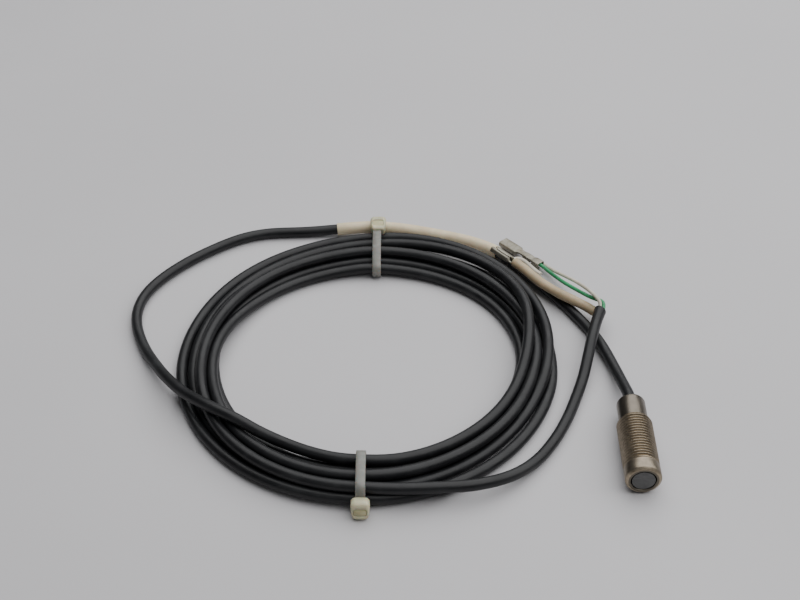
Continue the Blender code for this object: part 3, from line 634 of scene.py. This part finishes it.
def laid_turns():
    """The coil's cable as laid: turns, distance outward, height, and the lowest height allowed."""
    lay = np.array(COIL_LAY)
    turns = np.arange(round(lay[0, 0] * STATIONS), round(lay[-1, 0] * STATIONS) + 1) / STATIONS
    slopes = np.gradient(lay[:, 1:], lay[:, 0], axis=0)
    index = np.clip(np.searchsorted(lay[:, 0], turns, side="right") - 1, 0, len(lay) - 2)
    span = lay[index + 1, 0] - lay[index, 0]
    t = np.clip((turns - lay[index, 0]) / span, 0.0, 1.0)
    rise = t * t * (3 - 2 * t)
    across, up = ((1 - rise) * lay[index, column] + rise * lay[index + 1, column]
                  + span * ((t ** 3 - 2 * t * t + t) * slopes[index, column - 1]
                            + (t ** 3 - t * t) * slopes[index + 1, column - 1])
                  for column in (1, 2))
    from_tie = np.abs((turns * 2 + 0.5) % 1.0 - 0.5) / 2
    lift = np.clip(1.0 - from_tie / TIE_LIFT_TURNS, 0.0, 1.0)
    floor = CABLE_RADIUS + (TIE_THICKNESS + 2 * TIE_PLAY) * lift * lift * (3 - 2 * lift)
    return turns, across, up, floor


def settle_turns(turns, across, up, floor):
    """Let the turns push each other apart, and bend evenly, while they are drawn to where they lie."""
    spacing = 2 * CABLE_RADIUS + TURN_CLEARANCE
    laid_across = across.copy()
    laid_up = up.copy()
    held = (turns <= turns[0] + HELD_START) | (turns > HELD_END)
    for step in range(SETTLING_STEPS):
        late = step > LATE_STEP
        if not late:
            up = up + PULL * (laid_up - up)
            across = across + PULL * (laid_across - across)
        for values in (across, up):
            values[1:-1] += BENDING[late] * (0.5 * values[:-2] + 0.5 * values[2:] - values[1:-1])
        for apart in range(1, MOST_TURNS_APART + 1):
            gap = apart * STATIONS
            sideways = across[gap:] - across[:-gap]
            upward = up[gap:] - up[:-gap]
            distance = np.maximum(np.hypot(sideways, upward), 1e-6)
            push = 0.5 * np.maximum(spacing - distance, 0.0) / distance
            across[gap:] += push * sideways
            across[:-gap] -= push * sideways
            up[gap:] += push * upward
            up[:-gap] -= push * upward
        up = np.maximum(up, floor)
        across[held] = laid_across[held]
        up[held] = laid_up[held]
    return across, up


def nearest(points, place):
    return int(np.argmin(np.linalg.norm(points - np.array(place), axis=1)))


def cable_points():
    turns, across, up, floor = laid_turns()
    across, up = settle_turns(turns, across, up, floor)
    centre, outward = ellipse_frame(turns)
    flat = centre + outward * across[:, None]
    coil = np.column_stack([flat, up])[::COIL_EVERY]
    stub = [(0.0, REAR - REAR_BORE_LENGTH, AXIS_HEIGHT)]
    keys = np.vstack([stub, LEAD_ROUTE, SLEEVE_ROUTE, LOOP_ROUTE, coil, TAIL_ROUTE])
    points = smooth_route(keys, POINT_SPACING)
    start, end = UNEASED_POINTS, nearest(points, LOOP_ROUTE[-1])
    passes, share = EASING
    for _ in range(passes):
        middles = 0.5 * (points[start - 1:end - 1] + points[start + 1:end + 1])
        points[start:end] += share * (middles - points[start:end])
    return points


def crossings(points, x, behind):
    """Where the cable passes through the plane of a tie, as circles of (y, z, radius)."""
    found = []
    for start, end in zip(points, points[1:]):
        if (start[0] - x) * (end[0] - x) <= 0.0 and start[0] != end[0]:
            share = (x - start[0]) / (end[0] - start[0])
            y, z = (start + share * (end - start))[1:]
            if (y > COIL_CENTRE[1]) == behind:
                found.append((y, z, CABLE_RADIUS))
    return found


# ---------------------------------------------------------------- pieces

def own(piece, material_slot, *nodes):
    """Let a piece move with the sensor and stand for its CAD nodes."""
    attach(piece, "root")
    if nodes:
        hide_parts(*nodes)
    return piece


def build_tie(name, x, circles, material):
    """A strap pulled round the circles in the plane of the tie."""
    half = TIE_WIDTH / 2
    low, high = TIE_PLAY, TIE_PLAY + TIE_THICKNESS
    corners = [(-half + TIE_EDGE, low), (half - TIE_EDGE, low), (half, low + TIE_EDGE),
               (half, high - TIE_EDGE), (half - TIE_EDGE, high), (-half + TIE_EDGE, high),
               (-half, high - TIE_EDGE), (-half, low + TIE_EDGE)]
    loops = [[(x + sideways, y + out * across, z + out * up) for sideways, out in corners]
             for y, z, across, up in wrapped_outline(circles)]
    return bridged(name, loops, material, closed=True, sharp_degrees=50.0)


def build_tie_head(name, place, turn, length, material):
    """A tie's head: a tapered block with a slot through it."""
    sections = [(share * length, *rest) for share, *rest in HEAD_SECTIONS]
    head = lofted(name, sections, place, turn, material)
    slot = lofted(name + "_slot", SLOT_SECTIONS, place,
                  turn @ Matrix.Rotation(math.radians(90.0), 3, "X"), material)
    slot.location = (turn @ Vector((0.0, 0.0, SLOT_RISE * length))) * MM
    cut = head.modifiers.new("slot", "BOOLEAN")
    cut.operation = "DIFFERENCE"
    cut.solver = "EXACT"
    cut.object = slot
    bpy.context.view_layer.update()
    mesh = bpy.data.meshes.new_from_object(head.evaluated_get(bpy.context.evaluated_depsgraph_get()))
    head.modifiers.clear()
    head.data = mesh
    bpy.data.objects.remove(slot, do_unlink=True)
    return head


def build_strap_end(name, place, turn, length, material):
    """The trimmed end of the strap, which fills the head's slot."""
    return lofted(name, STRAP_END_SECTIONS, Vector(place) + turn @ Vector((0.0, 0.0, SLOT_RISE * length)),
                  turn @ Matrix.Rotation(math.radians(90.0), 3, "X"), material)


def build_barrel(material):
    """The barrel's skin: a right-handed thread between plain ends, and the bores at both ends."""
    crests = round((THREAD_REAR - THREAD_FRONT) / THREAD_PITCH)
    shoulder = REAR - REAR_BORE_LENGTH
    front = [(BORE_RADIUS, shoulder), (BORE_RADIUS, FRONT + 0.15), (BORE_RADIUS + 0.12, FRONT),
             (THREAD_RADIUS - FRONT_CHAMFER - 0.08, FRONT), (THREAD_RADIUS - FRONT_CHAMFER, FRONT + 0.04),
             (THREAD_RADIUS - 0.04, FRONT + FRONT_CHAMFER - 0.03),
             (THREAD_RADIUS, FRONT + FRONT_CHAMFER + 0.05),
             (THREAD_RADIUS, THREAD_FRONT - 1.5), (THREAD_RADIUS, THREAD_FRONT - 0.35),
             (THREAD_RADIUS - 0.28, THREAD_FRONT - 0.1), (THREAD_RADIUS - THREAD_END_DEPTH, THREAD_FRONT)]
    rear = [(THREAD_RADIUS - THREAD_END_DEPTH, THREAD_REAR), (THREAD_RADIUS - 0.34, THREAD_REAR + 0.1),
            (REAR_RADIUS + 0.05, THREAD_REAR + 0.5), (REAR_RADIUS, THREAD_REAR + 0.58),
            (REAR_RADIUS, 11.0), (REAR_RADIUS, REAR - 0.7), (REAR_RADIUS - 0.06, REAR - 0.38),
            (REAR_RADIUS - 0.2, REAR - 0.14), (REAR_RADIUS - 0.42, REAR), (REAR_BORE_RADIUS + 0.08, REAR),
            (REAR_BORE_RADIUS, REAR - 0.08), (REAR_BORE_RADIUS, shoulder)]
    loops = []

    def add_loop(place):
        loops.append([])
        for step in range(BARREL_SIDES):
            turn = 2 * math.pi * step / BARREL_SIDES
            radius, y = place(step / BARREL_SIDES)
            loops[-1].append((radius * math.cos(turn), y, AXIS_HEIGHT + radius * math.sin(turn)))

    for radius, y in front:
        add_loop(lambda share, radius=radius, y=y: (radius, y))
    for crest in range(-1, crests + 1):
        for offset, depth in THREAD_PROFILE:
            def helix(share, crest=crest, offset=offset, depth=depth):
                y = THREAD_FRONT + (crest + offset + share) * THREAD_PITCH
                inside = min(1.0, max(0.0, min(y - THREAD_FRONT, THREAD_REAR - y) / THREAD_END_RUN))
                radius = THREAD_RADIUS - THREAD_DEPTH * depth
                return (min(radius, THREAD_RADIUS - THREAD_END_DEPTH + THREAD_END_DEPTH * inside),
                        min(max(y, THREAD_FRONT), THREAD_REAR))
            add_loop(helix)
    for radius, y in rear:
        add_loop(lambda share, radius=radius, y=y: (radius, y))
    return bridged("barrel", loops, material, closed=True, sharp_degrees=28.0)


def sheet_section(half, side, lip, dip):
    """Middle line of a folded sheet: floor of half width half, sides, and lips turned in and down."""
    corner = min(SHEET_FOLD, 0.45 * side, half * 0.5)
    bend = [math.radians(degrees) for degrees in (30, 60, 90)]
    right = [(0.0, 0.0), (0.5 * half, 0.0), (half - corner, 0.0)]
    right += [(half - corner + corner * math.sin(turn), corner - corner * math.cos(turn))
              for turn in bend]
    right += [(half, side - corner)]
    right += [(half - corner + corner * math.cos(turn), side - corner + corner * math.sin(turn))
              for turn in bend]
    right += [(half - corner - 0.5 * lip, side - 0.25 * dip), (half - corner - lip, side - dip)]
    return [(-across, up) for across, up in reversed(right[1:])] + right


def build_terminal(name, placement, crimps, material):
    """A female blade terminal folded from one sheet: receptacle, neck and crimps."""
    front, back, roll = placement
    front, back = Vector(front), Vector(back)
    length = (back - front).length
    stations = list(RECEPTACLE_SECTIONS)
    if crimps:
        stations += [(length - CRIMPS_LENGTH + behind, *rest) for behind, *rest in CRIMP_SECTIONS]
    grid = []
    for x, half, side, lip, dip, floor in stations:
        grid.append([(x, across, floor + up) for across, up in sheet_section(half, side, lip, dip)])
    wide = len(grid[0])
    points = [tuple(value * MM for value in point) for row in grid for point in row]
    faces = [(row * wide + i, row * wide + i + 1, (row + 1) * wide + i + 1, (row + 1) * wide + i)
             for row in range(len(grid) - 1) for i in range(wide - 1)]
    mesh = bpy.data.meshes.new(name)
    mesh.from_pydata(points, [], faces)
    obj = finished(name, mesh, material, 35.0)
    sheet = obj.modifiers.new("sheet", "SOLIDIFY")
    sheet.thickness = SHEET_THICKNESS * MM
    sheet.offset = 0.0
    edges = obj.modifiers.new("edges", "BEVEL")
    edges.width = SHEET_EDGE * MM
    edges.segments = 2
    edges.limit_method = "ANGLE"
    along = (back - front).normalized()
    across = Vector((0.0, 0.0, 1.0)).cross(along).normalized()
    turn = Matrix((along, across, along.cross(across))).transposed().to_4x4()
    place = (Matrix.Translation(front * MM) @ turn @ Matrix.Rotation(math.radians(roll), 4, "X")
             @ Matrix.Translation((0.0, 0.0, -FLOOR_BELOW_AXIS * MM)))
    bpy.context.view_layer.update()
    final = bpy.data.meshes.new_from_object(obj.evaluated_get(bpy.context.evaluated_depsgraph_get()))
    obj.modifiers.clear()
    obj.data = final
    final.transform(place)
    return obj


def build_floor(material):
    mesh = bpy.data.meshes.new("floor")
    corners = [(-1, -1), (1, -1), (1, 1), (-1, 1)]
    mesh.from_pydata([(FLOOR_REACH * x, FLOOR_REACH * y, FLOOR_HEIGHT) for x, y in corners], [],
                     [(0, 1, 2, 3)])
    floor = finished("floor", mesh, material)


def build_sleeves(points):
    """The sleeve on the cable, the sleeve on the third conductor, and that conductor."""
    aged = cream_tubing("cream_sleeve", (0.64, 0.53, 0.355), (0.80, 0.69, 0.49))
    pale = cream_tubing("cream_wire_sleeve", (0.405, 0.315, 0.192), (0.52, 0.415, 0.268))
    sleeved_part = points[nearest(points, SLEEVE_ROUTE[0]):nearest(points, SLEEVE_ROUTE[-1]) + 1]
    sleeve = tube("sleeve", sleeved_part, SLEEVE_RADIUS, aged, SLEEVE_BORE, SLEEVE_BORE, wobble=0.012)
    own(sleeve, "cream_sleeve", "protective_sleeve")
    lead_sleeve = tube("lead_sleeve", smooth_route(LEAD_SLEEVE_ROUTE, spacing=1.5), LEAD_SLEEVE_RADIUS, pale,
                       LEAD_SLEEVE_BORE, LEAD_SLEEVE_BORE, wobble=0.03)
    own(lead_sleeve, "cream_sleeve", "wire_sleeve")
    sleeved = tube("sleeved_wire", smooth_route(SLEEVED_WIRE_ROUTE, spacing=0.6), SLEEVED_WIRE_RADIUS, pale,
                   sides=14, edge=0.04)
    own(sleeved, "cream_sleeve")
    return [sleeve, lead_sleeve, sleeved], pale


def build_wires():
    """The green wire, the white wire, and the white end beside the leaning terminal."""
    green = plastic("green_insulation", (0.022, 0.225, 0.088), (0.042, 0.355, 0.142), 0.38)
    green_wire = tube("wire_green", smooth_route(GREEN_ROUTE, spacing=0.8), GREEN_WIRE_RADIUS, green,
                      sides=14, edge=0.05, wobble=0.02)
    own(green_wire, "green_insulation", "green_wire")
    white = plastic("white_insulation", (0.50, 0.46, 0.37), (0.66, 0.62, 0.53), 0.45)
    white_wire = tube("wire_white", smooth_route(WHITE_ROUTE, spacing=0.8), WHITE_WIRE_RADIUS, white,
                      sides=14, edge=0.05, wobble=0.02)
    own(white_wire, "white_insulation", "white_wire")
    white_end = tube("wire_white_end", smooth_route(WHITE_END_ROUTE, spacing=0.7), WHITE_END_RADIUS, white,
                     sides=14, edge=0.05, wobble=0.03)
    own(white_end, "white_insulation")
    return [green_wire, white_wire, white_end], green, white


def build_ties(points):
    """The straps round the coil at the front and at the back, and their heads."""
    strap = nylon("tie_strap", (0.170, 0.170, 0.153), (0.232, 0.232, 0.210))
    block = nylon("tie_head", (0.47, 0.45, 0.29), (0.61, 0.59, 0.41))
    trimmed = nylon("tie_strap_end", (0.44, 0.41, 0.22), (0.55, 0.51, 0.30))
    front_circles = crossings(points, FRONT_TIE_X, False)
    back_circles = crossings(points, BACK_TIE_X, True)
    sleeve_circle = max(back_circles)
    back_circles = [c for c in back_circles if c is not sleeve_circle]
    back_circles.append((sleeve_circle[0], sleeve_circle[1], SLEEVE_RADIUS))
    ties = [own(build_tie("front_tie", FRONT_TIE_X, front_circles, strap), "nylon", "cable_tie_front"),
            own(build_tie("back_tie", BACK_TIE_X, back_circles, strap), "nylon", "cable_tie_back")]
    front = min(y - radius for y, z, radius in front_circles) - TIE_THICKNESS
    top = sleeve_circle[1] + SLEEVE_RADIUS + TIE_THICKNESS
    for name, place, turn, length in (
            ("front_tie_head", (FRONT_TIE_X, front - FRONT_HEAD_OUT, FRONT_HEAD_HEIGHT),
             Matrix.Rotation(math.radians(FRONT_HEAD_TILT), 3, "X"), FRONT_HEAD_LENGTH),
            ("back_tie_head", (BACK_TIE_X + BACK_HEAD_ASIDE, BACK_HEAD_Y, top + BACK_HEAD_RISE),
             Matrix.Rotation(math.radians(180.0), 3, "Z")
             @ Matrix.Rotation(math.radians(BACK_HEAD_TILT), 3, "X"), BACK_HEAD_LENGTH)):
        ties.append(own(build_tie_head(name, place, turn, length, block), "nylon"))
        ties.append(own(build_strap_end(name + "_strap_end", place, turn, length, trimmed), "nylon"))
    return ties


def build_terminals():
    """The two blade terminals and the bare strands in the lying one's crimp."""
    tin = tinned_sheet()
    terminals = [
        own(build_terminal("terminal_lying", LYING_TERMINAL, True, tin), "tinned_metal",
            "blade_terminal_lying"),
        own(build_terminal("terminal_leaning", LEANING_TERMINAL, False, tin), "tinned_metal",
            "blade_terminal_leaning")]
    for index, route in enumerate(BARE_ROUTES):
        strand = tube("bare_strand_%d" % index, smooth_route(route, spacing=0.6), BARE_STRAND_RADIUS, tin,
                      sides=8, edge=0.02)
        terminals.append(own(strand, "tinned_metal"))
    return terminals, tin


def dress_inner_parts(jacket, cream, tin, green, white):
    """Finishes for the CAD nodes that stay as they are."""
    black = plastic("component_black", (0.014, 0.014, 0.014), (0.026, 0.026, 0.027), 0.5, 0.6)
    finishes = {
        "sensing_face_cap": sensing_plastic(),
        "ferrite_core": plastic("ferrite", (0.028, 0.028, 0.030), (0.045, 0.045, 0.048), 0.6, 0.4),
        "sensing_coil": copper_winding(),
        "core_holder": plastic("holder_plastic", (0.08, 0.08, 0.08), (0.12, 0.12, 0.12), 0.5),
        "circuit_board": solder_mask(),
        "oscillator_chip": black, "output_transistor": black, "sensitivity_resistor": black,
        "surge_diode": black,
        "tantalum_capacitor": plastic("component_yellow", (0.55, 0.34, 0.06), (0.70, 0.46, 0.10), 0.5),
        "ceramic_capacitor": plastic("component_tan", (0.34, 0.24, 0.14), (0.46, 0.34, 0.20), 0.5),
        "rear_seal": plastic("resin", (0.010, 0.010, 0.011), (0.020, 0.020, 0.021), 0.3, 1.0, 0.03),
        "cable_clamp_ring": tin, "cable_inner_end": jacket,
        "inner_green_wire": green, "inner_white_wire": white, "inner_sleeved_wire": cream,
    }
    for node, material in finishes.items():
        obj = bpy.data.objects[node]
        obj.data.materials.clear()
        obj.data.materials.append(material)


def main():
    add_camera()
    jacket = cable_jacket()
    points = cable_points()
    cable = tube("cable", points, CABLE_RADIUS, jacket, end_bore=JACKET_BORE, slant=CUT_SLANT,
                 flare=JACKET_FLARE)
    own(cable, "cable_jacket", "cable_lead", "cable_loop", "cable_coil", "cable_tail")
    length = Line(points).length * MM
    sleeves, pale = build_sleeves(points)
    wires, green, white = build_wires()
    ties = build_ties(points)
    terminals, tin = build_terminals()
    own(build_barrel(nickel_plate()), "nickel", "threaded_barrel")
    dress_inner_parts(jacket, pale, tin, green, white)
    build_floor(floor_card())
    add_lights()


main()
